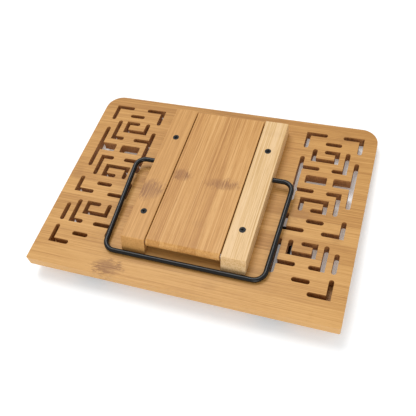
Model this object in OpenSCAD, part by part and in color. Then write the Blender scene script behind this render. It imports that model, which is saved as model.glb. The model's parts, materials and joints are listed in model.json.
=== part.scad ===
// Folding bamboo stand for a Quran or another book, folded flat and lying on its face.
//
// Every piece is drawn in the board's own frame, and folded() then lays it down:
//   x across the board, y up from its foot to its top edge,
//   z = 0 on the back face of the board and +z out of the back.
// Lying down, the stand rests on the front edge of the tray and on the board's top edge.

/* [Board] */
// Width of the board
board_w = 280; // [240:1:340]
// Height of the board, from its foot to its top edge
board_h = 205; // [180:1:250]
// Thickness of the board
board_t = 10; // [8:0.5:14]
// Radius of the two top corners
top_corner_r = 16; // [4:1:24]
// Radius of the two foot corners
foot_corner_r = 1.5; // [0.5:0.5:6]

/* [Fretwork] */
// Width of every slot
slot_w = 4.25; // [3:0.25:5]
// From the side edge of the board to the middle of the outer column of slots
fret_side_margin = 14.3; // [10:0.1:20]
// From the top edge of the board to the middle of the top row of slots
fret_top_margin = 14.1; // [10:0.1:20]
// From the foot of the board to the middle of the bottom row of slots
fret_foot_margin = 23.4; // [18:0.1:40]
// Width of each of the two windows
window_w = 19.5; // [14:0.5:20]
// Height of each window
window_h = 9.4; // [5:0.1:10]
// Wood left between the two windows
window_bar = 5.7; // [4:0.1:7]

/* [Battens] */
// Width of a batten
batten_w = 22; // [18:0.5:28]
// Thickness of a batten
batten_t = 14; // [12:0.5:18]
// From the middle of the board to the middle of a batten
batten_x = 45.5; // [42:0.5:50]
// From the foot of the board to the foot of a batten
batten_foot = 27.7; // [26:0.1:34]
// From the top edge of the board to the top end of a batten
batten_top_gap = 18; // [10:0.5:30]
// How far the sloped foot of a batten leans back over its thickness
batten_slope = 5.8; // [3:0.1:7]

/* [Batten screws] */
// Diameter of the flat head
screw_head_d = 6; // [5:0.1:7]
// Diameter of the shank
screw_d = 3; // [2.5:0.1:3.5]
// Length over all
screw_len = 20; // [17:0.5:21.5]
// From the top end of a batten to its upper screw
screw_end_gap = 36.6; // [20:0.1:50]
// From the upper screw of a batten to its lower screw
screw_span = 88; // [70:1:110]

/* [Support plate] */
// Thickness of the plate
plate_t = 9; // [8:0.5:10]
// Gap between the plate and each batten
plate_side_gap = 1.1; // [0.6:0.1:2]
// How far the top end of the plate stops short of the battens' top ends
plate_top_gap = 1.4; // [0:0.1:6]
// From the foot of a batten to the hinge axis of the plate
plate_hinge_up = 8.8; // [8:0.1:12]
// From the hinge axis to the first groove
groove_first = 70; // [60:1:80]
// From one groove to the next
groove_pitch = 16; // [12:0.5:17]
// Number of grooves
groove_count = 5; // [3:1:5]
// Diameter of the two hinge pins
plate_pin_d = 4; // [3:0.25:4.5]
// Length of a hinge pin
plate_pin_len = 24; // [18:1:28]

/* [Support wire] */
// Diameter of the wire
wire_d = 4.5; // [3:0.25:4.5]
// From the foot of the board to the axis that the wire turns on
wire_pivot_y = 123; // [118:0.5:140]
// From the back face of the board to that axis
wire_pivot_z = 8.2; // [6:0.1:9]
// From the axis to the middle of the crossbar
wire_reach = 99; // [80:0.5:100]
// From the middle of the board to an arm, next to its upper bend
wire_top_x = 75.5; // [70:0.5:90]
// How far each arm leans inwards, in degrees
wire_lean = 2; // [0:0.1:3]
// Radius of the upper bends, on the wire's middle line
wire_top_bend_r = 9; // [5:0.5:12]
// Radius of the lower bends, on the wire's middle line
wire_foot_bend_r = 10; // [6:0.5:14]
// Length of wire inside a batten
wire_tail = 10.5; // [6:0.5:14]

/* [Tray] */
// Width of the tray
tray_w = 262; // [220:1:280]
// Depth of the tray, from its hinged edge to its front edge
tray_d = 35; // [28:0.5:42]
// Thickness of the tray
tray_t = 10; // [8:0.5:12]
// Gap between the folded tray and the board
tray_gap = 0.3; // [0.2:0.05:0.8]

/* [Tray hinges] */
// From the middle of the board to the middle of a hinge
hinge_x = 82; // [50:1:95]
// Width of a hinge
hinge_w = 26; // [20:1:34]
// Thickness of a leaf
leaf_t = 1.2; // [0.8:0.1:1.4]
// Diameter of the barrel
barrel_d = 4.4; // [3.6:0.1:5]
// Diameter of the pin
hinge_pin_d = 2.2; // [1.5:0.1:2.6]
// Diameter of a leaf screw's head
leaf_screw_head_d = 3.8; // [3.4:0.1:4.2]
// Diameter of a leaf screw's shank
leaf_screw_d = 2; // [1.6:0.1:2.2]
// Length of a leaf screw
leaf_screw_len = 7; // [5:0.5:8]
// Distance between the two screws of a leaf
leaf_screw_span = 16; // [12:1:18]

/* [Page clips] */
// Diameter of the clip wire
clip_d = 3; // [2.5:0.25:3.5]
// From the middle of the tray to the middle of a clip
clip_x = 78; // [40:1:100]
// From the middle of a clip to the middle of one of its arms
clip_half_w = 6; // [5:0.5:9]
// From the axis that a clip turns on to the middle of its end bar
clip_reach = 46; // [36:0.5:50]
// Radius of a clip's bends, on the wire's middle line
clip_bend_r = 2.5; // [2:0.25:4]
// Length of clip wire inside each wall of its notch
clip_tail = 5; // [4:0.5:10]
// From the front edge of the tray to the axis of the clips
clip_axis_in = 4; // [3:0.5:5]
// From the inner face of the tray to that axis
clip_axis_down = 3.5; // [3:0.25:4.5]
// Depth of the notch in the tray's front edge
notch_d = 8; // [7:0.5:12]
// Room between a clip's arm and the wall of its notch
notch_room = 1.5; // [1:0.25:3]
// Thickness of the rubber pad moulded over a clip's end
pad_t = 5; // [4:0.1:5.5]
// Rubber round the outside of the wire
pad_wall = 1; // [0.6:0.1:2]
// How far the pad reaches down the arms from the middle of the end bar
pad_len = 15; // [8:0.5:24]

/* [Hidden] */
$fn = 64;
turn_fit = 0.05;        // radial room around a pin or a wire that turns
drill_fit = 0.1;        // radial room around a shank in its through hole
cut = 1;                // how far a cutting shape runs past the face it opens
end_room = 0.5;         // room past the blind end of a pin or a wire
recess_depth = 0.9;     // depth of a screw's cross recess, as a share of its shank radius
groove_room = 0.3;      // radial room for the wire in a groove
knuckle_gap = 0.3;      // gap between hinge knuckles, and round them
leaf_margin = 1;        // tray edge left beyond the end of a leaf
wire_rest_gap = 0.2;    // gap between the crossbar and the board
window_corner_r = 1.5;    // radius of a window's corners
wire_lap = 0.2;         // how far a straight stretch of wire runs into a bend
bend_swell = 0.01;      // how much thicker a bend is all round

// Heights and edges that several pieces share
batten_top = board_h - batten_top_gap;
batten_inner_x = batten_x - batten_w / 2;
batten_outer_x = batten_x + batten_w / 2;
screw_high_y = batten_top - screw_end_gap;
screw_low_y = screw_high_y - screw_span;
plate_half_w = batten_inner_x - plate_side_gap;
plate_top = batten_top - plate_top_gap;
plate_hinge_y = batten_foot + plate_hinge_up;
plate_hinge_z = batten_t - plate_t / 2;
plate_under_z = batten_t - plate_t;
hinge_axis_y = tray_t + tray_gap / 2;
hinge_axis_z = -board_t - tray_gap / 2;
tray_foot_y = hinge_axis_y + tray_gap / 2;
tray_front_y = tray_foot_y + tray_d;
tray_inner_z = -board_t - tray_gap;
leaf_len = tray_t - leaf_margin;
leaf_screw_in = (leaf_len + barrel_d / 2) / 2;
clip_axis_y = tray_front_y - clip_axis_in;
clip_axis_z = tray_inner_z - clip_axis_down;
notch_half_w = clip_half_w + clip_bend_r + notch_room;

// How the folded stand lies
tilt = atan((tray_t + tray_gap) / (board_h - tray_front_y));
lift = board_h * sin(tilt) + board_t * cos(tilt);
middle_y = (board_h * cos(tilt) - board_t * sin(tilt)) / 2;

// Columns of slots, from the outer one inwards, and rows, from the top one down
fret_x = board_w / 2 - fret_side_margin;
fret_top = board_h - fret_top_margin;
fret_h = fret_top - fret_foot_margin;
column_steps = [0, 9.5, 19, 30.2, 40.1, 50];
row_steps = [0, 10, 20, 30.5, 41, 54, 67, 77, 87.5, 99, 109.5, 122.5, 133, 143.5, 157, 167.5];
column_table = [for (i = [0 : len(column_steps) - 1]) [i, fret_x - column_steps[i]]];
row_table = [for (i = [0 : len(row_steps) - 1])
    [i, fret_top - row_steps[i] * fret_h / row_steps[len(row_steps) - 1]]];
function column(i) = lookup(i, column_table);
function row(i) = lookup(i, row_table);

// Slots of one side as [column, row] stops along their middle lines.
// A stop between two whole numbers lies part of the way from one line to the next.
window_row = 5;
slots = [
    [[1.6, 0], [0, 0], [0, 1.55]],
    [[3.4, 0], [5, 0], [5, 1.55]],
    [[3, 1], [2, 1]],
    [[2.9, 2], [2, 2], [2, 3], [4, 3], [4, 2]],
    [[1, 2], [1, 4], [2, 4]],
    [[5, 3], [5, 7.1]],
    [[3.4, 4], [5, 4]],
    [[3.4, 6], [5, 6]],
    [[0, 3], [0, 7.1]],
    [[2, 6], [1, 6], [1, 8]],
    [[4, 8], [4, 7], [2, 7], [2, 8], [2.9, 8]],
    [[3, 9], [2, 9]],
    [[0, 8.7], [0, 10], [1.6, 10]],
    [[5, 8.7], [5, 10], [3.4, 10]],
    [[5, 11], [5, 13.7]],
    [[3.4, 13], [5, 13]],
    [[2.9, 11], [2, 11], [2, 12], [4, 12], [4, 11]],
    [[1, 11], [1, 13], [2, 13]],
    [[0, 11.55], [0, 13]],
    [[3, 14], [2, 14]],
    [[0, 13.7], [0, 15], [1.6, 15]],
];

// Lays a piece down as the folded stand lies, with the middle of its foot print at the origin
module folded() translate([0, -middle_y, lift]) rotate([-tilt, 0, 0]) children();

// A block given by its lowest and highest corners
module block(low, high) translate(low) cube(high - low);

// A round rod along x, from x = a to x = b, through (y, z)
module rod_x(a, b, y, z, d) translate([a, y, z]) rotate([0, 90, 0]) cylinder(d = d, h = b - a);

// A flat-headed screw whose head is level with z = 0 and whose point is below
module screw_shape(head_d, shank_d, length) {
    head_h = (head_d - shank_d) / 2;
    point_h = shank_d;
    translate([0, 0, -head_h]) cylinder(d1 = shank_d, d2 = head_d, h = head_h);
    translate([0, 0, point_h - length]) cylinder(d = shank_d, h = length - point_h);
    translate([0, 0, -length]) cylinder(d1 = 0.2, d2 = shank_d, h = point_h);
}

// The cross recess of that screw
module cross_recess(head_d, shank_d) {
    depth = shank_d / 2 * recess_depth;
    arm = head_d * 0.56;
    thick = head_d * 0.15;
    for (turn = [0, 90]) rotate(turn)
        translate([-arm / 2, -thick / 2, -depth]) cube([arm, thick, depth + cut]);
}

module screw(head_d, shank_d, length) difference() {
    screw_shape(head_d, shank_d, length);
    cross_recess(head_d, shank_d);
}

// The hole for it: a countersink and a through hole down to through_h, then a snug pilot hole
module screw_hole(head_d, shank_d, length, through_h) {
    head_h = (head_d - shank_d) / 2;
    translate([0, 0, -head_h]) cylinder(d1 = shank_d, d2 = head_d, h = head_h);
    cylinder(d = head_d, h = cut);
    translate([0, 0, -through_h]) cylinder(d = shank_d + 2 * drill_fit, h = through_h - head_h / 2);
    translate([0, 0, -length - end_room]) cylinder(d = shank_d, h = length);
}

// A straight stretch of bent wire along x, with what follows it at its end
module wire_run(length, d) {
    translate([-wire_lap, 0, 0]) rotate([0, 90, 0]) cylinder(d = d, h = length + 2 * wire_lap);
    translate([length, 0, 0]) children();
}

// A turn of the wire, to the left or, with a negative angle, to the right, with what follows it.
// A bend is a hair thicker than the wire, so it closes over the ends of the straight stretches.
module wire_turn(bend_r, turn, d) {
    side = sign(turn);
    translate([0, side * bend_r, 0]) {
        rotate(-90 * side) rotate_extrude(angle = turn)
            translate([bend_r, 0]) circle(d = d + 2 * bend_swell);
        rotate(turn) translate([0, -side * bend_r, 0]) children();
    }
}

// Fretwork
module slot(stops) {
    points = [for (s = stops) [column(s.x), row(s.y)]];
    last = len(points) - 1;
    for (i = [1 : last]) {
        low = [min(points[i - 1].x, points[i].x), min(points[i - 1].y, points[i].y)];
        size = [abs(points[i].x - points[i - 1].x), abs(points[i].y - points[i - 1].y)];
        if (size.x > size.y) translate(low - [0, slot_w / 2]) square([size.x, slot_w]);
        else translate(low - [slot_w / 2, 0]) square([slot_w, size.y]);
    }
    for (i = [1 : 1 : last - 1]) translate(points[i]) square(slot_w, center = true);
    for (i = [0, last]) translate(points[i]) circle(d = slot_w);
}

module window(outer_x) {
    r = window_corner_r;
    x = outer_x - window_w;
    y = row(window_row) - window_h / 2;
    translate([x + r, y]) square([window_w - 2 * r, window_h]);
    translate([x, y + r]) square([window_w, window_h - 2 * r]);
    for (cx = [x + r, outer_x - r], cy = [y + r, y + window_h - r]) translate([cx, cy]) circle(r = r);
}

module fretwork() {
    outer_wall = fret_x + slot_w / 2;
    for (stops = slots) slot(stops);
    window(outer_wall);
    window(outer_wall - window_w - window_bar);
}

// Board
module board_outline() {
    x = board_w / 2;
    difference() {
        translate([-x, 0]) square([board_w, board_h]);
        for (side = [-1, 1]) {
            translate([side * x, board_h]) corner_waste(top_corner_r, -side, -1);
            translate([side * x, 0]) corner_waste(foot_corner_r, -side, 1);
        }
    }
}

// What is cut off a square corner at the origin to round it; the wood lies towards (sx, sy)
module corner_waste(r, sx, sy) difference() {
    translate([sx * r / 2 - sx * cut / 2, sy * r / 2 - sy * cut / 2]) square(r + cut, center = true);
    translate([sx * r, sy * r]) circle(r = r);
}

module board() color("peru") folded() difference() {
    translate([0, 0, -board_t]) linear_extrude(board_t) difference() {
        board_outline();
        fretwork();
        mirror([1, 0]) fretwork();
    }
    for (side = [-1, 1]) {
        for (y = [screw_low_y, screw_high_y]) translate([side * batten_x, y, batten_t])
            screw_hole(screw_head_d, screw_d, screw_len, batten_t);
        translate([side * hinge_x, 0, 0]) board_hinge_room();
    }
}

// Room in the board for one hinge: the leaf's recess, the barrel's channel and the screw holes
module board_hinge_room() {
    block([-hinge_w / 2, hinge_axis_y - leaf_len, -board_t - cut],
        [hinge_w / 2, hinge_axis_y, -board_t + leaf_t]);
    barrel_room();
    board_leaf_screw_places() screw_hole(leaf_screw_head_d, leaf_screw_d, leaf_screw_len, leaf_t);
}

module barrel_room() rod_x(-hinge_w / 2 - 2 * knuckle_gap, hinge_w / 2 + 2 * knuckle_gap,
    hinge_axis_y, hinge_axis_z, barrel_d + 2 * knuckle_gap);

// Battens
module batten(side) folded() difference() {
    translate([side * batten_x - batten_w / 2, 0, 0]) rotate([90, 0, 90]) linear_extrude(batten_w)
        polygon([[batten_foot, 0], [batten_top, 0], [batten_top, batten_t],
            [batten_foot + batten_slope, batten_t]]);
    for (y = [screw_low_y, screw_high_y]) translate([side * batten_x, y, batten_t])
        screw_hole(screw_head_d, screw_d, screw_len, batten_t);
    scale([side, 1, 1]) {
        rod_x(batten_inner_x - cut, plate_pin_out + end_room, plate_hinge_y, plate_hinge_z, plate_pin_d);
        rod_x(batten_outer_x - wire_tail - end_room, batten_outer_x + cut,
            wire_pivot_y, wire_pivot_z, wire_d + 2 * turn_fit);
    }
}

module batten_left() color("burlywood") batten(-1);
module batten_right() color("navajowhite") batten(1);

module batten_screws() color("dimgray") folded()
    for (side = [-1, 1], y = [screw_low_y, screw_high_y])
        translate([side * batten_x, y, batten_t]) screw(screw_head_d, screw_d, screw_len);

// Support plate, with a round hinged end and grooves across the face that is hidden when folded
plate_pin_out = batten_inner_x - plate_side_gap / 2 + plate_pin_len / 2;
plate_pin_in = plate_pin_out - plate_pin_len;

module support_plate() color("sandybrown") folded() difference() {
    union() {
        block([-plate_half_w, plate_hinge_y, plate_under_z], [plate_half_w, plate_top, batten_t]);
        rod_x(-plate_half_w, plate_half_w, plate_hinge_y, plate_hinge_z, plate_t);
    }
    for (i = [0 : groove_count - 1])
        rod_x(-plate_half_w - cut, plate_half_w + cut,
            plate_hinge_y + groove_first + i * groove_pitch, plate_under_z, wire_d + 2 * groove_room);
    for (side = [-1, 1]) scale([side, 1, 1])
        rod_x(plate_pin_in - end_room, plate_half_w + cut,
            plate_hinge_y, plate_hinge_z, plate_pin_d + 2 * turn_fit);
}

module plate_pin(side) color("silver") folded() scale([side, 1, 1])
    rod_x(plate_pin_in, plate_pin_out, plate_hinge_y, plate_hinge_z, plate_pin_d);

module plate_pin_left() plate_pin(-1);
module plate_pin_right() plate_pin(1);

// Support wire: one side in a plane, with x across and y along the arm, from the axis to the crossbar
wire_drop = asin((wire_pivot_z - wire_d / 2 - wire_rest_gap) / wire_reach);

module wire_half() {
    arm_len = (wire_reach - wire_top_bend_r * (1 + sin(wire_lean))
        - wire_foot_bend_r * (1 - sin(wire_lean))) / cos(wire_lean);
    tail_len = wire_top_x - wire_top_bend_r * cos(wire_lean) - batten_outer_x + wire_tail;
    crossbar_half = wire_top_x - arm_len * sin(wire_lean) - wire_foot_bend_r * cos(wire_lean);
    translate([batten_outer_x - wire_tail, 0, 0])
        wire_run(tail_len, wire_d) wire_turn(wire_top_bend_r, 90 + wire_lean, wire_d)
        wire_run(arm_len, wire_d) wire_turn(wire_foot_bend_r, 90 - wire_lean, wire_d)
        wire_run(crossbar_half, wire_d);
}

module support_wire() color("black") folded()
    translate([0, wire_pivot_y, wire_pivot_z]) rotate([180 + wire_drop, 0, 0]) {
        wire_half();
        mirror([1, 0, 0]) wire_half();
    }

// Tray, folded against the front of the board
module tray() color("peru") folded() difference() {
    block([-tray_w / 2, tray_foot_y, tray_inner_z - tray_t], [tray_w / 2, tray_front_y, tray_inner_z]);
    for (side = [-1, 1]) {
        translate([side * hinge_x, 0, 0]) tray_hinge_room();
        translate([side * clip_x, 0, 0]) clip_notch();
    }
}

// The notch that a clip turns in, with a bore in each of its walls
module clip_notch() {
    block([-notch_half_w, tray_front_y - notch_d, tray_inner_z - tray_t - cut],
        [notch_half_w, tray_front_y + cut, tray_inner_z + cut]);
    rod_x(-notch_half_w - clip_tail - end_room, notch_half_w + clip_tail + end_room,
        clip_axis_y, clip_axis_z, clip_d + 2 * turn_fit);
}

module tray_hinge_room() {
    block([-hinge_w / 2, tray_foot_y - cut, hinge_axis_z - leaf_len],
        [hinge_w / 2, tray_foot_y + leaf_t, tray_inner_z + cut]);
    barrel_room();
    tray_leaf_screw_places() screw_hole(leaf_screw_head_d, leaf_screw_d, leaf_screw_len, leaf_t);
}

// Tray hinges, each drawn about x = 0: two knuckles on the board's leaf and one on the tray's
module knuckle(a, b) rod_x(a, b, hinge_axis_y, hinge_axis_z, barrel_d);

module knuckle_room(a, b)
    rod_x(a - knuckle_gap, b + knuckle_gap, hinge_axis_y, hinge_axis_z, barrel_d + 2 * knuckle_gap);

module pin_bore(room)
    rod_x(-hinge_w, hinge_w, hinge_axis_y, hinge_axis_z, hinge_pin_d + 2 * room);

middle_knuckle = hinge_w / 6;

module board_leaf_screw_places() for (side = [-1, 1])
    translate([side * leaf_screw_span / 2, hinge_axis_y - leaf_screw_in, -board_t])
        rotate([180, 0, 0]) children();

module tray_leaf_screw_places() for (side = [-1, 1])
    translate([side * leaf_screw_span / 2, tray_foot_y, hinge_axis_z - leaf_screw_in])
        rotate([90, 0, 0]) children();

module board_leaf(side) color("dimgray") folded() translate([side * hinge_x, 0, 0]) difference() {
    union() {
        block([-hinge_w / 2, hinge_axis_y - leaf_len, -board_t], [hinge_w / 2, hinge_axis_y, -board_t + leaf_t]);
        knuckle(-hinge_w / 2, hinge_w / 2);
    }
    knuckle_room(-middle_knuckle, middle_knuckle);
    pin_bore(0);
    board_leaf_screw_places() screw_hole(leaf_screw_head_d, leaf_screw_d, leaf_screw_len, leaf_t + cut);
}

module tray_leaf(side) color("dimgray") folded() translate([side * hinge_x, 0, 0]) difference() {
    union() {
        difference() {
            block([-hinge_w / 2, tray_foot_y, hinge_axis_z - leaf_len],
                [hinge_w / 2, tray_foot_y + leaf_t, hinge_axis_z]);
            knuckle_room(-hinge_w / 2, hinge_w / 2);
        }
        difference() {
            block([-middle_knuckle, tray_foot_y, hinge_axis_z - leaf_len],
                [middle_knuckle, tray_foot_y + leaf_t, hinge_axis_z]);
            pin_bore(0);
        }
        knuckle(-middle_knuckle, middle_knuckle);
    }
    pin_bore(turn_fit);
    tray_leaf_screw_places() screw_hole(leaf_screw_head_d, leaf_screw_d, leaf_screw_len, leaf_t + cut);
}

module hinge_pin(side) color("gray") folded() translate([side * hinge_x, 0, 0])
    rod_x(-hinge_w / 2 - knuckle_gap, hinge_w / 2 + knuckle_gap, hinge_axis_y, hinge_axis_z, hinge_pin_d);

module board_leaf_left() board_leaf(-1);
module board_leaf_right() board_leaf(1);
module tray_leaf_left() tray_leaf(-1);
module tray_leaf_right() tray_leaf(1);
module hinge_pin_left() hinge_pin(-1);
module hinge_pin_right() hinge_pin(1);

module board_leaf_screws() color("dimgray") folded() for (side = [-1, 1])
    translate([side * hinge_x, 0, 0]) board_leaf_screw_places()
        screw(leaf_screw_head_d, leaf_screw_d, leaf_screw_len);

module tray_leaf_screws() color("dimgray") folded() for (side = [-1, 1])
    translate([side * hinge_x, 0, 0]) tray_leaf_screw_places()
        screw(leaf_screw_head_d, leaf_screw_d, leaf_screw_len);

// Page clips: wire loops whose ends are sprung into the walls of a notch.
// Each half is drawn in a plane, with x across and y along the arm, from the axis to the end bar.
module clip_half() {
    translate([notch_half_w + clip_tail, 0, 0]) rotate(180)
        wire_run(notch_half_w + clip_tail - clip_half_w - clip_bend_r, clip_d)
        wire_turn(clip_bend_r, -90, clip_d)
        wire_run(clip_reach - 2 * clip_bend_r, clip_d) wire_turn(clip_bend_r, 90, clip_d)
        wire_run(clip_half_w - clip_bend_r, clip_d);
}

module pad_outline() {
    half_w = clip_half_w + clip_d / 2 + pad_wall;
    end = clip_reach + clip_d / 2 + pad_wall;
    corner_r = clip_bend_r + clip_d / 2 + pad_wall;
    difference() {
        translate([-half_w, clip_reach - pad_len]) square([2 * half_w, end - clip_reach + pad_len]);
        for (side = [-1, 1]) translate([side * half_w, end]) corner_waste(corner_r, -side, -1);
    }
}

module on_clip_axis(side) folded() translate([side * clip_x, clip_axis_y, clip_axis_z]) children();

module page_clip(side) color("black") on_clip_axis(side) {
    clip_half();
    mirror([1, 0, 0]) clip_half();
}

module clip_pad(side) color("black") on_clip_axis(side) difference() {
    translate([0, 0, -pad_t / 2]) linear_extrude(pad_t) pad_outline();
    clip_half();
    mirror([1, 0, 0]) clip_half();
}

module page_clip_left() page_clip(-1);
module page_clip_right() page_clip(1);
module clip_pad_left() clip_pad(-1);
module clip_pad_right() clip_pad(1);

board();
batten_left();
batten_right();
batten_screws();
support_plate();
plate_pin_left();
plate_pin_right();
support_wire();
tray();
board_leaf_left();
board_leaf_right();
tray_leaf_left();
tray_leaf_right();
hinge_pin_left();
hinge_pin_right();
board_leaf_screws();
tray_leaf_screws();
page_clip_left();
page_clip_right();
clip_pad_left();
clip_pad_right();
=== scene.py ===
# %% [markdown]
# # A folding bamboo book stand
# The stand lies folded on its face, so the camera looks at its back: a fretwork board, two battens, a
# support plate between them and a bent black wire. The working model comes first, as a fixed frame of exact
# solids. Everything below gives those solids soft edges, real bamboo and black metal, and moves nothing.

# %% Load the frame
import json
import math

import bmesh
import bpy
from mathutils import Matrix, Vector


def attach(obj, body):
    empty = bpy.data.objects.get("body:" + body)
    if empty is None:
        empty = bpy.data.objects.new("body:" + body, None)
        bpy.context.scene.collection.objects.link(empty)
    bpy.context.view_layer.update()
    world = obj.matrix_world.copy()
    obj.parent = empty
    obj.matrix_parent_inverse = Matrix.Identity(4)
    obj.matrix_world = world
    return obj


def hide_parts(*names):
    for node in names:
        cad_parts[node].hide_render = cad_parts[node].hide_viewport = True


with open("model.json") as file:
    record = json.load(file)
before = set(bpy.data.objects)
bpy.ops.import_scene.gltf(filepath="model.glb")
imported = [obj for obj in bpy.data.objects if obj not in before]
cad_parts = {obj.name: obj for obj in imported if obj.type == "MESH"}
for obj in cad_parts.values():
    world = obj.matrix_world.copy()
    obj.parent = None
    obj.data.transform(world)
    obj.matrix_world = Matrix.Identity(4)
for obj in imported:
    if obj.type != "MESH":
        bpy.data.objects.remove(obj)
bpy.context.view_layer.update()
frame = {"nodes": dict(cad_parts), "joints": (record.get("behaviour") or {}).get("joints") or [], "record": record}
MM = 0.001

# %% [markdown]
# The folded tray lifts the foot of the board, so the whole stand slopes a little. Wood grain follows the
# board and not the floor, so it helps to have the board's own axes: x across, y from the foot to the top
# edge, z out of the back. The slope is the direction that the flat back of the plate faces.

# %% The board's own axes
mounts = {mount["name"]: mount for mount in frame["record"]["mounts"]}
plate_back = Vector(mounts["plate_face"]["axis"])
TILT = math.atan2(plate_back.y, plate_back.z)
TURN = Matrix.Rotation(-TILT, 4, "X")
joint_at = {joint["name"]: Vector(joint["pos_m"]) for joint in frame["joints"]}


def level_box(node):
    """Lowest and highest corner of a node along the board's own axes, in metres."""
    flat = [TURN.inverted() @ v.co for v in frame["nodes"][node].data.vertices]
    low = Vector([min(p[axis] for p in flat) for axis in range(3)])
    high = Vector([max(p[axis] for p in flat) for axis in range(3)])
    return low, high


batten_low, _ = level_box("batten_left")
board_low, board_high = level_box("board")
FOOT = Vector((0, board_low.y, batten_low.z))
FOLDED = TURN @ Matrix.Translation(FOOT)
board_t = batten_low.z - board_low.z
print("slope, degrees:", round(math.degrees(TILT), 2), "board thickness, mm:", round(board_t / MM, 2))

# %% [markdown]
# ## Shader sums
# A material is a small sum over many nodes. Written with the editor's mouse it is a web of links. Here one
# class wraps a socket, so `1 - mask` or `grain * 0.4 + cloud` adds its own Math nodes, and one method adds
# any other node. Sizes inside the wood are in millimetres, because that is how wood is measured.

# %% One class for sums of sockets


class Value:
    """A number that changes over a surface: a socket that can be added, multiplied and compared."""

    def __init__(self, finish, socket):
        self.finish = finish
        self.socket = socket

    def sum_of(self, operation, *terms):
        return self.finish.node("ShaderNodeMath", {"operation": operation}, dict(enumerate(terms)))

    def __add__(self, other):
        return self.sum_of("ADD", self, other)

    def __sub__(self, other):
        return self.sum_of("SUBTRACT", self, other)

    def __mul__(self, other):
        return self.sum_of("MULTIPLY", self, other)

    def __truediv__(self, other):
        return self.sum_of("DIVIDE", self, other)

    def __rsub__(self, other):
        return self.sum_of("SUBTRACT", other, self)

    __radd__ = __add__
    __rmul__ = __mul__

    def whole(self):
        return self.sum_of("FLOOR", self)

    def least(self, other):
        return self.sum_of("MINIMUM", self, other)

    def most(self, other):
        return self.sum_of("MAXIMUM", self, other)

    def ramp(self, start, end):
        """0 before start, 1 after end, and a soft step between them."""
        settings = {"data_type": "FLOAT", "interpolation_type": "SMOOTHSTEP"}
        sockets = {0: self, 1: start, 2: end, 3: 0.0, 4: 1.0}
        return self.finish.node("ShaderNodeMapRange", settings, sockets)


# %% One class for a finish


class Finish:
    """A material under way: its Principled shader and the nodes that feed it."""

    def __init__(self, name):
        self.material = bpy.data.materials.new(name)
        self.material.use_nodes = True
        self.nodes = self.material.node_tree.nodes
        self.links = self.material.node_tree.links
        self.shader = self.nodes["Principled BSDF"]
        self.place = self.node("ShaderNodeTexCoord", {}, {}, "Object")

    def node(self, kind, settings, sockets, output=0):
        """Adds a node: first its settings, then the values or links of its sockets."""
        made = self.nodes.new(kind)
        for key, value in settings.items():
            if key == "stops":
                self.set_stops(made.color_ramp, value)
            else:
                setattr(made, key, value)
        for key, value in sockets.items():
            if isinstance(value, Value):
                self.links.new(value.socket, made.inputs[key])
            else:
                made.inputs[key].default_value = value
        return Value(self, made.outputs[output])

    def set_stops(self, ramp, stops):
        while len(ramp.elements) < len(stops):
            ramp.elements.new(0.5)
        for element, (position, colour) in zip(ramp.elements, stops):
            element.position = position
            element.color = (*colour, 1.0)

    def feed(self, socket, value):
        if isinstance(value, Value):
            self.links.new(value.socket, self.shader.inputs[socket])
        elif "Color" in socket:
            self.shader.inputs[socket].default_value = (*value, 1.0)
        else:
            self.shader.inputs[socket].default_value = value

    def noise(self, place, size, detail=2.0, roughness=0.5):
        """Noise whose blobs are about as large as size, along the three axes of place."""
        vector = self.node("ShaderNodeCombineXYZ", {}, {i: place[i] / size[i] for i in range(3)})
        sockets = {"Vector": vector, "Scale": 1.0, "Detail": detail, "Roughness": roughness}
        return self.node("ShaderNodeTexNoise", {}, sockets)

    def colour_mix(self, amount, first, second):
        settings = {"data_type": "RGBA", "blend_type": "MIX", "clamp_result": True}
        ends = [c if isinstance(c, Value) else (*c, 1.0) for c in (first, second)]
        return self.node("ShaderNodeMix", settings, {0: amount, 6: ends[0], 7: ends[1]}, 2)

    def edge(self):
        """1 on the bevelled edges of a piece and 0 elsewhere."""
        return self.node("ShaderNodeAttribute", {"attribute_name": "edge"}, {}, 2)

    def bumps(self, height, tall, strength):
        """Relief that is tall metres high where height is 1."""
        sockets = {"Height": height, "Distance": tall, "Strength": strength}
        self.feed("Normal", self.node("ShaderNodeBump", {}, sockets))


# %% [markdown]
# ## Bamboo
# Bamboo boards are pressed from strips about as wide as a finger. Each strip has its own tone, its fibres
# run its whole length as fine darker streaks, and where the cane had a joint there is a speckled brown band
# across the strip. A flat pattern would show none of this on the sawn edges, so it is made in space: the
# strips are steps across the piece, the fibres are noise stretched along it, and the joints are soft spots
# at chosen places. All sizes are in millimetres, and a row of three is along the fibre, across and deep.

# %% Places on the board
TO_BOARD = FOLDED.inverted()


def board_millimetres(finish):
    """The place on the board's own axes, in millimetres, as three numbers."""
    place = finish.node(
        "ShaderNodeMapping",
        {"vector_type": "POINT"},
        {
            "Vector": finish.place,
            "Location": TO_BOARD.translation / MM,
            "Rotation": TO_BOARD.to_euler(),
            "Scale": (1 / MM, 1 / MM, 1 / MM),
        },
    )
    return [finish.node("ShaderNodeSeparateXYZ", {}, {0: place}, axis) for axis in range(3)]


def scaled(colour, *shares):
    """A colour made darker or lighter, by one share or by one for each of its three parts."""
    return tuple(part * share for part, share in zip(colour, shares * 3 if len(shares) == 1 else shares))


# %% The bamboo recipe
STREAK_MM, FIBRE_MM, CLOUD_MM, DASH_MM = (150, 1.1, 1.1), (32, 0.5, 0.5), (60, 6, 6), (9, 0.3, 0.3)
STREAK_TONE, FIBRE_TONE, CLOUD_TONE, STRIP_TONE, FAR_EDGE_DARKENING = 1.6, 1.1, 0.5, 0.36, 0.34
FEATHER_MM = (5, 1.6, 8)
WEAR_MM = (14, 14, 6)
TONE_STOPS = (0.12, 0.5, 0.88)
LONGEST_SHIFT_MM = 400


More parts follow.
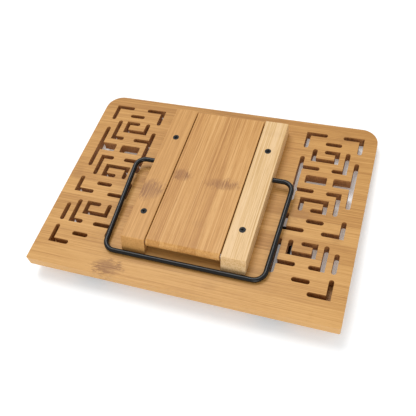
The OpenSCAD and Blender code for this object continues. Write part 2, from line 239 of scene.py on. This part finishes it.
def bamboo(name, tones, along, strip, cane_joints, seed, contrast=1.0, dark_from=None):
    """Bamboo strips glued side by side.

    tones: dark, middle and light colour; along: 0 for grain in x, 1 for grain in y;
    strip: width of a strip; cane_joints: (x, y, half width, half height, strength) of each brown band;
    dark_from: where, up the board, the colour starts to turn darker towards the far edge.
    """
    finish = Finish(name)
    axes = board_millimetres(finish)
    grain, across, depth = axes[along], axes[1 - along], axes[2]
    dark, middle, light = tones

    # Each strip has a number, and its fibres are shifted by a length of its own
    strip_place = across / strip + seed * 0.37
    strip_number = strip_place.whole()
    lot = finish.node("ShaderNodeTexWhiteNoise", {"noise_dimensions": "1D"}, {"W": strip_number + seed})
    fibre_place = (grain + lot * LONGEST_SHIFT_MM, across, depth)

    # Streaks, finer fibres, and slow changes of tone along a strip
    streaks = finish.noise(fibre_place, STREAK_MM, roughness=0.6)
    fibres = finish.noise(fibre_place, FIBRE_MM, roughness=0.6)
    clouds = finish.noise(fibre_place, CLOUD_MM)
    tone = (
        0.5
        + (streaks - 0.5) * (STREAK_TONE * contrast)
        + (fibres - 0.5) * (FIBRE_TONE * contrast)
        + (clouds - 0.5) * (CLOUD_TONE * contrast)
        + (lot - 0.5) * (STRIP_TONE * contrast)
    )
    # From dark_from on, the board is darker towards its far edge
    if dark_from:
        tone = tone - axes[1].ramp(dark_from - 4.0, dark_from + 4.0) * FAR_EDGE_DARKENING
    stops = list(zip(TONE_STOPS, (dark, middle, light)))
    colour = finish.node("ShaderNodeValToRGB", {"stops": stops}, {0: tone})

    # Thin dark dashes: the bundles of fibre that are cut open by the plane
    dashes = finish.noise(fibre_place, DASH_MM, detail=1.0).ramp(0.6, 0.78)
    colour = finish.colour_mix(dashes * 0.34, colour, scaled(dark, 0.52))

    # The glue line between two strips
    share = strip_place - strip_place.whole()
    glue = 1.0 - (share.least(1.0 - share) * strip).ramp(0.05, 0.4)
    colour = finish.colour_mix(glue * 0.22, colour, scaled(dark, 0.6))

    # Speckled brown bands where the cane had a joint
    feather = (finish.noise((grain, across, depth), FEATHER_MM, detail=4.0, roughness=0.65) - 0.5) * 2.2
    bands = 0.0
    for x, y, half_x, half_y, strength in cane_joints:
        off_x = (axes[0] - x) / half_x + feather
        off_y = (axes[1] - y) / half_y + feather
        spot = (1.0 - (off_x * off_x + off_y * off_y)) * strength
        bands = spot.most(bands)
    speckles = 0.3 + fibres.ramp(0.42, 0.6) * 0.85
    colour = finish.colour_mix(bands * speckles, colour, scaled(dark, 0.62, 0.57, 0.72))

    # Handled edges are a little paler and duller in places
    rub = finish.edge() * finish.noise(axes, WEAR_MM, detail=3.0, roughness=0.6).ramp(0.42, 0.62)
    colour = finish.colour_mix(rub * 0.28, colour, scaled(light, 1.12))

    finish.feed("Base Color", colour)
    finish.feed("Roughness", 0.42 + (fibres - 0.5) * 0.22 + rub * 0.12)
    finish.feed("Specular IOR Level", 0.22)
    finish.feed("Coat Weight", 0.05)
    finish.feed("Coat Roughness", 0.3)
    finish.bumps(streaks * 0.5 + fibres * 0.5 - dashes * 0.5, tall=0.12 * MM, strength=0.55)
    print("bamboo:", name, "with", len(finish.nodes), "nodes")
    return finish.material


# %% [markdown]
# The five wooden pieces were cut from different boards. The board and the tray run their grain across the
# stand and are the warmest. The plate and the left batten run it the long way. The right batten came from a
# much paler cane. Colours are linear, from the darkest streak to the lightest.

# %% Wood finishes
SEED = 11.0
board_wood = bamboo(
    "board_bamboo",
    [(0.385, 0.178, 0.043), (0.515, 0.265, 0.074), (0.60, 0.33, 0.106)],
    along=0,
    strip=19.0,
    cane_joints=[
        (-62, 8, 16, 9, 1.3),
        (112, 190, 11, 8, 0.35),
        (30, 12, 9, 6, 0.2),
        (88, 96, 12, 8, 0.4),
        (122, 80, 8, 7, 0.4),
        (96, 62, 9, 7, 0.2),
        (-132, 100, 6, 9, 0.25),
    ],
    seed=SEED,
    dark_from=187,
)
tray_wood = bamboo(
    "tray_bamboo",
    [(0.38, 0.175, 0.05), (0.51, 0.26, 0.083), (0.60, 0.33, 0.12)],
    along=0,
    strip=17.0,
    cane_joints=[(-40, 30, 11, 8, 0.6), (88, 22, 10, 8, 0.5)],
    seed=SEED + 23.0,
)
plate_wood = bamboo(
    "plate_bamboo",
    [(0.40, 0.18, 0.045), (0.53, 0.268, 0.078), (0.64, 0.36, 0.13)],
    along=1,
    strip=16.5,
    cane_joints=[(-25, 108, 11, 8, 1.0), (15, 105, 17, 7, 1.0), (6, 60, 8, 5, 0.15)],
    seed=SEED + 41.0,
)
left_batten_wood = bamboo(
    "batten_bamboo",
    [(0.45, 0.22, 0.06), (0.55, 0.285, 0.088), (0.625, 0.34, 0.115)],
    along=1,
    strip=30.0,
    cane_joints=[(-49, 86, 15, 12, 1.3)],
    seed=SEED + 57.0,
    contrast=0.9,
)
right_batten_wood = bamboo(
    "pale_bamboo",
    [(0.48, 0.285, 0.10), (0.62, 0.395, 0.17), (0.72, 0.495, 0.265)],
    along=1,
    strip=30.0,
    cane_joints=[(46, 172, 12, 4, 0.12)],
    seed=SEED + 73.0,
    contrast=1.25,
)

# %% [markdown]
# ## Burnt walls
# The fretwork is cut by a laser, which chars the wood it passes. The walls of the slots are therefore a dark
# brown with upright streaks, while both faces stay clean. They are faces of the board with their own finish.

# %% The laser's char
def charred():
    finish = Finish("charred_bamboo")
    place = board_millimetres(finish)
    streaks = finish.noise(place, (0.8, 0.8, 7))
    layers = finish.noise(place, (30, 30, 1.4))
    tone = streaks * 0.55 + layers * 0.45
    stops = [(0.3, (0.20, 0.075, 0.018)), (0.52, (0.39, 0.17, 0.05)), (0.72, (0.54, 0.27, 0.095))]
    finish.feed("Base Color", finish.node("ShaderNodeValToRGB", {"stops": stops}, {0: tone}))
    finish.feed("Roughness", 0.62 + (streaks - 0.5) * 0.25)
    finish.feed("Specular IOR Level", 0.3)
    finish.bumps(streaks, tall=0.15 * MM, strength=0.6)
    return finish.material


char = charred()

# %% [markdown]
# ## Metal and rubber
# The wires are coated in satin black powder, which sprays on as a very fine orange-peel skin and rubs to a
# slightly glossier black where hands hold it. The screws are black oxide, the hinge leaves black lacquer with
# a little bare steel along their edges, the pins plain steel, and the clip pads matt rubber. These are small
# and plain on the real object, so their patterns are fine.

# %% Black powder coat
def powder_coat(name, shade, peel, satin):
    finish = Finish(name)
    place = board_millimetres(finish)
    skin = finish.noise(place, (peel, peel, peel))
    handled = finish.noise(place, (22, 22, 22), detail=3.0, roughness=0.6).ramp(0.45, 0.65)
    dark = scaled((1.0, 1.0, 1.02), 0.75 * shade)
    light = scaled((1.0, 1.02, 1.05), 1.5 * shade)
    finish.feed("Base Color", finish.colour_mix(skin * 0.3 + handled * 0.4, dark, light))
    finish.feed("Roughness", satin + (skin - 0.5) * 0.14 - handled * 0.06)
    finish.feed("Specular IOR Level", 0.28)
    finish.bumps(skin, tall=0.06 * MM, strength=0.12)
    return finish.material


# %% Lacquered and plain steel
def lacquered_steel(name, shade):
    finish = Finish(name)
    place = board_millimetres(finish)
    brushed = finish.noise(place, (6, 0.2, 0.2))
    spots = finish.noise(place, (2.2, 2.2, 2.2), detail=3.0, roughness=0.6)
    bare = (finish.edge() * spots.ramp(0.42, 0.6)).most(spots.ramp(0.74, 0.8) * 0.5)
    finish.feed("Base Color", finish.colour_mix(bare, (shade, shade, shade * 0.95), (0.42, 0.41, 0.40)))
    finish.feed("Metallic", 0.2 + bare * 0.75)
    finish.feed("Roughness", 0.38 + (brushed - 0.5) * 0.3 + bare * 0.05)
    finish.bumps(brushed, tall=0.04 * MM, strength=0.4)
    return finish.material


def plain_steel(name):
    finish = Finish(name)
    place = board_millimetres(finish)
    drawn = finish.noise(place, (9, 0.25, 0.25))
    stains = finish.noise(place, (4, 4, 4), detail=3.0, roughness=0.6).ramp(0.5, 0.75)
    finish.feed("Base Color", finish.colour_mix(stains * 0.4, (0.56, 0.56, 0.57), (0.36, 0.34, 0.31)))
    finish.feed("Metallic", 1.0)
    finish.feed("Roughness", 0.3 + (drawn - 0.5) * 0.25 + stains * 0.15)
    finish.bumps(drawn, tall=0.03 * MM, strength=0.4)
    return finish.material


# %% Rubber
def moulded_rubber(name):
    finish = Finish(name)
    place = board_millimetres(finish)
    grain = finish.noise(place, (0.45, 0.45, 0.45), detail=3.0, roughness=0.6)
    dust = finish.noise(place, (5, 5, 5), detail=3.0, roughness=0.6).ramp(0.5, 0.8)
    finish.feed("Base Color", finish.colour_mix(dust * 0.3, (0.02, 0.02, 0.02), (0.07, 0.068, 0.065)))
    finish.feed("Roughness", 0.7 + (grain - 0.5) * 0.25)
    finish.bumps(grain, tall=0.1 * MM, strength=0.4)
    return finish.material


black_wire = powder_coat("black_wire", shade=0.004, peel=0.35, satin=0.26)
black_screw = powder_coat("black_screw", shade=0.003, peel=0.2, satin=0.55)
hinge_metal = lacquered_steel("hinge_metal", shade=0.035)
steel_pin = plain_steel("steel_pin")
pad_rubber = moulded_rubber("pad_rubber")
print("finishes:", sorted(m.name for m in bpy.data.materials))

# %% [markdown]
# ## Soft edges for exact solids
# The exact solids have razor edges, which no sanded wood has, and a razor edge catches no light. Moving the
# solid's own points isn't wanted, so each piece is a copy: its triangles are merged, flat triangles become
# whole faces, and the sharp edges are bevelled. The bevel's faces are marked, and the finishes read that mark
# as wear. The copy then stands in for its solid and rides on the same body.

# %% Copy, merge and bevel
record = frame["record"]
body_of = {n: body for body, members in record["behaviour"]["bodies"].items() for n in members}
SHARP = math.radians(30)
NEARLY_FLAT = math.radians(0.5)
WELD = 0.003 * MM


def hand_over(piece, *nodes):
    """The piece stands for these nodes, and moves as the first one."""
    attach(piece, body_of[nodes[0]])
    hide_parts(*nodes)
    return piece


def merged_copy(node):
    bm = bmesh.new()
    bm.from_mesh(frame["nodes"][node].data)
    bmesh.ops.remove_doubles(bm, verts=bm.verts, dist=WELD)
    bmesh.ops.dissolve_limit(bm, angle_limit=NEARLY_FLAT, verts=bm.verts, edges=bm.edges)
    return bm


def soften(bm, radius, segments=2, choose=None):
    """Bevels the sharp edges that choose() picks, and marks the new faces as edge."""
    sharp = [e for e in bm.edges if len(e.link_faces) == 2 and e.calc_face_angle(0.0) > SHARP]
    picked = [e for e in sharp if choose is None or choose(e)]
    made = bmesh.ops.bevel(
        bm,
        geom=picked,
        offset=radius,
        offset_type="OFFSET",
        affect="EDGES",
        segments=segments,
        profile=0.5,
        material=-1,
        clamp_overlap=True,
    )
    mark = bm.loops.layers.float.new("edge")
    for face in made["faces"]:
        for loop in face.loops:
            loop[mark] = 1.0


def finished(name, bm, materials):
    """Makes an object of the mesh: smooth where it bends gently and sharp where it doesn't."""
    mesh = bpy.data.meshes.new(name)
    for face in bm.faces:
        face.smooth = True
    bm.to_mesh(mesh)
    bm.free()
    mesh.set_sharp_from_angle(angle=SHARP)
    for material in materials:
        mesh.materials.append(material)
    piece = bpy.data.objects.new(name, mesh)
    bpy.context.scene.collection.objects.link(piece)
    flatter = piece.modifiers.new("flat faces stay flat", "WEIGHTED_NORMAL")
    flatter.keep_sharp = True
    print(name, "has", len(mesh.polygons), "faces")
    return piece


def soft_copy(node, radius, materials, segments=2, choose=None, paint=None):
    bm = merged_copy(node)
    soften(bm, radius, segments, choose)
    if paint:
        paint(bm)
    return hand_over(finished(node + "_piece", bm, materials), node)


# %% [markdown]
# ## The board
# On the real stand this is one pressed bamboo board, sawn to size, rounded at its top corners, sanded, and
# then cut through by the laser. Its copy keeps the exact slots and gets a small soft edge all round. The
# walls of the slots are found by where they are and which way they face, and take the char.

# %% The board and its burnt slots
FRET_INNER_X = 62 * MM
FRET_FOOT = 18 * MM
RIM = 4 * MM


def in_fretwork(point):
    level = TO_BOARD @ point
    inside_sides = FRET_INNER_X < abs(level.x) < board_high.x - RIM
    return inside_sides and FRET_FOOT < level.y < board_high.y - board_low.y - RIM


def char_slots(bm):
    walls = 0
    back = TURN @ Vector((0, 0, 1))
    for face in bm.faces:
        if abs(face.normal.dot(back)) < 0.5 and in_fretwork(face.calc_center_median()):
            face.material_index = 1
            walls += 1
    print("burnt wall faces:", walls)


soft_copy("board", 0.25 * MM, [board_wood, char], paint=char_slots)

# %% [markdown]
# ## Battens, plate and tray
# The battens are planed square, with a sloped foot. Only their long edges are softened: the rims of the
# drilled holes stay crisp, as they are round the screws. The plate's hinged end is already round.

# %% The other wooden pieces
LONG = 3 * MM


def long_edge(edge):
    return edge.calc_length() > LONG


soft_copy("batten_left", 0.5 * MM, [left_batten_wood], 3, long_edge)
soft_copy("batten_right", 0.5 * MM, [right_batten_wood], 3, long_edge)
soft_copy("support_plate", 0.4 * MM, [plate_wood], 3)
soft_copy("tray", 0.5 * MM, [tray_wood], 3, long_edge)

# %% [markdown]
# ## Bent wire
# A round wire bent on a jig is straight runs joined by parts of a ring. A ring of points is drawn across the
# wire once, pushed along each run and spun round the middle of each bend, which is how the wire itself is
# made. Copying the exact solid would do, but its joints between runs and bends would show in the gloss.

# %% A wire that runs and turns
WIRE_SIDES = 24
STEP = math.radians(6)
QUARTER = math.radians(90)


def bent_wire(radius, start, heading, route):
    """A wire in the plane z = 0.

    route lists its ("run", length) and ("turn", bend radius, angle) steps.
    """
    bm = bmesh.new()
    across = Vector(heading).to_track_quat("Z", "Y").to_matrix().to_4x4()
    bmesh.ops.create_circle(
        bm, cap_ends=True, radius=radius, segments=WIRE_SIDES, matrix=Matrix.Translation(start) @ across
    )
    ring = list(bm.edges)
    place, heading = Vector(start), Vector(heading)
    for step in route:
        if step[0] == "run":
            made = bmesh.ops.extrude_edge_only(bm, edges=ring)["geom"]
            points = [v for v in made if isinstance(v, bmesh.types.BMVert)]
            bmesh.ops.translate(bm, verts=points, vec=heading * step[1])
            edges = [e for e in made if isinstance(e, bmesh.types.BMEdge)]
            ring = [e for e in edges if all(v in points for v in e.verts)]
            place = place + heading * step[1]
        else:
            bend, angle = step[1], step[2]
            side = Vector((-heading.y, heading.x, 0)) * math.copysign(1, angle)
            centre = place + side * bend
            steps = max(2, round(abs(angle) / STEP))
            made = bmesh.ops.spin(
                bm, geom=ring, cent=centre, axis=(0, 0, 1), angle=angle, steps=steps, use_merge=False
            )["geom_last"]
            ring = [e for e in made if isinstance(e, bmesh.types.BMEdge)]
            turn = Matrix.Rotation(angle, 3, "Z")
            place = centre + turn @ (place - centre)
            heading = turn @ heading
    bmesh.ops.contextual_create(bm, geom=ring)
    bmesh.ops.remove_doubles(bm, verts=bm.verts, dist=WELD)
    return bm


# %% Where the support wire lies
WIRE_R = 2.25 * MM
TOP_BEND = 9.0 * MM
FOOT_BEND = 10.0 * MM
LEAN = math.radians(2)
TAIL = 10.5 * MM

wire_low, wire_high = level_box("support_wire")
wire_axis = TURN.inverted().to_3x3() @ joint_at["wire_swing"]
bar_y, bar_z = wire_low.y + WIRE_R, wire_low.z + WIRE_R
reach = math.hypot(wire_axis.y - bar_y, wire_axis.z - bar_z)
drop = math.asin((wire_axis.z - bar_z) / reach)
top_x = wire_high.x - WIRE_R - TOP_BEND * (1 - math.cos(LEAN))
tail_start = batten_low.x + TAIL

# %% Bend the support wire
arm = (reach - TOP_BEND * (1 + math.sin(LEAN)) - FOOT_BEND * (1 - math.sin(LEAN))) / math.cos(LEAN)
tail = top_x - TOP_BEND * math.cos(LEAN) + tail_start
half_bar = top_x - arm * math.sin(LEAN) - FOOT_BEND * math.cos(LEAN)
route = [
    ("run", tail),
    ("turn", TOP_BEND, -QUARTER - LEAN),
    ("run", arm),
    ("turn", FOOT_BEND, -QUARTER + LEAN),
    ("run", 2 * half_bar),
    ("turn", FOOT_BEND, -QUARTER + LEAN),
    ("run", arm),
    ("turn", TOP_BEND, -QUARTER - LEAN),
    ("run", tail),
]
wire = bent_wire(WIRE_R, (tail_start, 0, 0), (-1, 0, 0), route)
wire.transform(TURN @ Matrix.Translation(wire_axis) @ Matrix.Rotation(math.pi + drop, 4, "X"))
hand_over(finished("support_wire_piece", wire, [black_wire]), "support_wire")
print("support wire, mm: arm", round(arm / MM, 1), "tail", round(tail / MM, 1))

# %% [markdown]
# ## Page clips
# Each clip is a thinner wire bent into a loop, its two ends sprung into the walls of a notch in the tray. A
# rubber pad is moulded over its free end, so that it holds a page without marking it. The pad starts as a
# block as large as its solid, gets its two far corners rounded, and then a soft edge all round.

# %% The clip wires
CLIP_R = 1.5 * MM
CLIP_BEND = 2.5 * MM
PAD_WALL = 1.0 * MM


def page_clip(side):
    clip, pad = "page_clip_" + side, "clip_pad_" + side
    axis = TURN.inverted().to_3x3() @ joint_at["clip_" + side + "_swing"]
    low, high = level_box(clip)
    pad_low, pad_high = level_box(pad)
    half_w = (pad_high.x - pad_low.x) / 2 - PAD_WALL - CLIP_R
    arm_len = high.y - CLIP_R - axis.y - 2 * CLIP_BEND
    tail_len = (high.x - low.x) / 2 - half_w - CLIP_BEND
    loop = [
        ("run", tail_len),
        ("turn", CLIP_BEND, -QUARTER),
        ("run", arm_len),
        ("turn", CLIP_BEND, QUARTER),
        ("run", 2 * (half_w - CLIP_BEND)),
        ("turn", CLIP_BEND, QUARTER),
        ("run", arm_len),
        ("turn", CLIP_BEND, -QUARTER),
        ("run", tail_len),
    ]
    bail = bent_wire(CLIP_R, ((high.x - low.x) / 2, 0, 0), (-1, 0, 0), loop)
    bail.transform(TURN @ Matrix.Translation(Vector(((low.x + high.x) / 2, axis.y, axis.z))))
    hand_over(finished(clip + "_piece", bail, [black_wire]), clip)


# %% The rubber pads
PAD_CORNER = 5.0 * MM
PAD_EDGE = 1.3 * MM
CORNER_SEGMENTS = 8
EDGE_SEGMENTS = 5


def clip_pad(side):
    node = "clip_pad_" + side
    low, high = level_box(node)
    size = Matrix.Diagonal((*(high - low), 1))
    bm = bmesh.new()
    bmesh.ops.create_cube(bm, size=1, matrix=Matrix.Translation((low + high) / 2) @ size)
    far = [e for e in bm.edges if all(v.co.y > high.y - PAD_EDGE for v in e.verts)]
    corners = [e for e in far if abs(e.verts[0].co.z - e.verts[1].co.z) > PAD_EDGE]
    bmesh.ops.bevel(
        bm,
        geom=corners,
        offset=PAD_CORNER,
        affect="EDGES",
        segments=CORNER_SEGMENTS,
        profile=0.5,
        material=-1,
    )
    soften(bm, PAD_EDGE, EDGE_SEGMENTS)
    bm.transform(TURN)
    hand_over(finished(node + "_piece", bm, [pad_rubber]), node)


for side in ("left", "right"):
    page_clip(side)
    clip_pad(side)

# %% [markdown]
# ## Small metal
# Screws, pins and hinge leaves keep their exact shape. Stamped and turned metal has a hair of rounding on
# its edges, which is what makes it shine there, so each copy gets one that is small next to its size.

# %% Pins, leaves and screws
for side in ("left", "right"):
    soft_copy("plate_pin_" + side, 0.3 * MM, [steel_pin], 2)
    soft_copy("hinge_pin_" + side, 0.25 * MM, [steel_pin], 2)
    soft_copy("board_leaf_" + side, 0.15 * MM, [hinge_metal], 1, long_edge)
    soft_copy("tray_leaf_" + side, 0.15 * MM, [hinge_metal], 1, long_edge)
soft_copy("batten_screws", 0.06 * MM, [black_screw], 1)
soft_copy("board_leaf_screws", 0.05 * MM, [black_screw], 1)
soft_copy("tray_leaf_screws", 0.05 * MM, [black_screw], 1)

# %% [markdown]
# ## Studio
# A pale seamless floor, a dome of soft white light, and one large lamp above and behind the stand on its
# left, so that each raised piece drops a short soft shadow towards the viewer's right. A weak lamp in front
# opens up the ends that face the viewer. Standard colour keeps pale wood pale: the filmic curve greys it.

# %% Floor
FLOOR_HALF = 4.0
floor_bm = bmesh.new()
bmesh.ops.create_grid(floor_bm, x_segments=4, y_segments=4, size=FLOOR_HALF)
floor_mesh = bpy.data.meshes.new("floor")
floor_bm.to_mesh(floor_mesh)
floor_bm.free()
floor = bpy.data.objects.new("floor", floor_mesh)
bpy.context.scene.collection.objects.link(floor)
paper = Finish("pale_floor")
paper.feed("Base Color", (0.88, 0.91, 0.93))
paper.feed("Roughness", 0.9)
paper.feed("Specular IOR Level", 0.1)
# The floor also glows faintly: painted light that lifts the shadows on it and lights the stand from below
paper.feed("Emission Color", (1.0, 1.0, 1.0))
paper.feed("Emission Strength", 0.17)
floor_mesh.materials.append(paper.material)
print("floor side, m:", 2 * FLOOR_HALF)

# %% Light
world = bpy.data.worlds.new("studio")
world.use_nodes = True
world.node_tree.nodes["Background"].inputs["Color"].default_value = (1.0, 1.0, 1.0, 1.0)
world.node_tree.nodes["Background"].inputs["Strength"].default_value = 0.7
bpy.context.scene.world = world
bpy.context.scene.view_settings.view_transform = "Standard"


def softbox(name, place, size, power):
    """A round lamp that faces the stand: place and size in metres, power in watts."""
    light = bpy.data.lights.new(name, "AREA")
    light.shape = "DISK"
    light.size = size
    light.energy = power
    lamp = bpy.data.objects.new(name, light)
    lamp.location = place
    lamp.rotation_euler = Vector(place).to_track_quat("Z", "Y").to_euler()
    bpy.context.scene.collection.objects.link(lamp)
    print("lamp", name, "of", power, "W")


softbox("key", place=(-1.1, 1.6, 3.5), size=2.2, power=82.0)
softbox("fill", place=(0.8, -2.7, 0.9), size=1.8, power=30.0)

# %% [markdown]
# ## Camera
# The camera is a little over half a metre away, high above the foot of the stand and to its right, and it is
# rolled, so that the stand lies at a slant.

# %% Camera
AIM = Vector((0.00604, -0.01695, 0.020))
AZIMUTH = math.radians(30.463)
ELEVATION = math.radians(57.544)
DISTANCE = 0.5283
ROLL = math.radians(15.946)
LENS = 50.857

away = Vector(
    (
        math.sin(AZIMUTH) * math.cos(ELEVATION),
        -math.cos(AZIMUTH) * math.cos(ELEVATION),
        math.sin(ELEVATION),
    )
)
camera_data = bpy.data.cameras.new("camera")
camera_data.lens = LENS
camera_data.sensor_width = 36.0
camera_data.clip_start = 0.01
camera = bpy.data.objects.new("camera", camera_data)
upright = (-away).to_track_quat("-Z", "Y").to_matrix()
camera.matrix_world = Matrix.Translation(AIM + away * DISTANCE) @ (
    upright @ Matrix.Rotation(-ROLL, 3, "Z")
).to_4x4()
bpy.context.scene.collection.objects.link(camera)
bpy.context.scene.camera = camera
print("camera at, m:", [round(v, 3) for v in camera.matrix_world.translation])
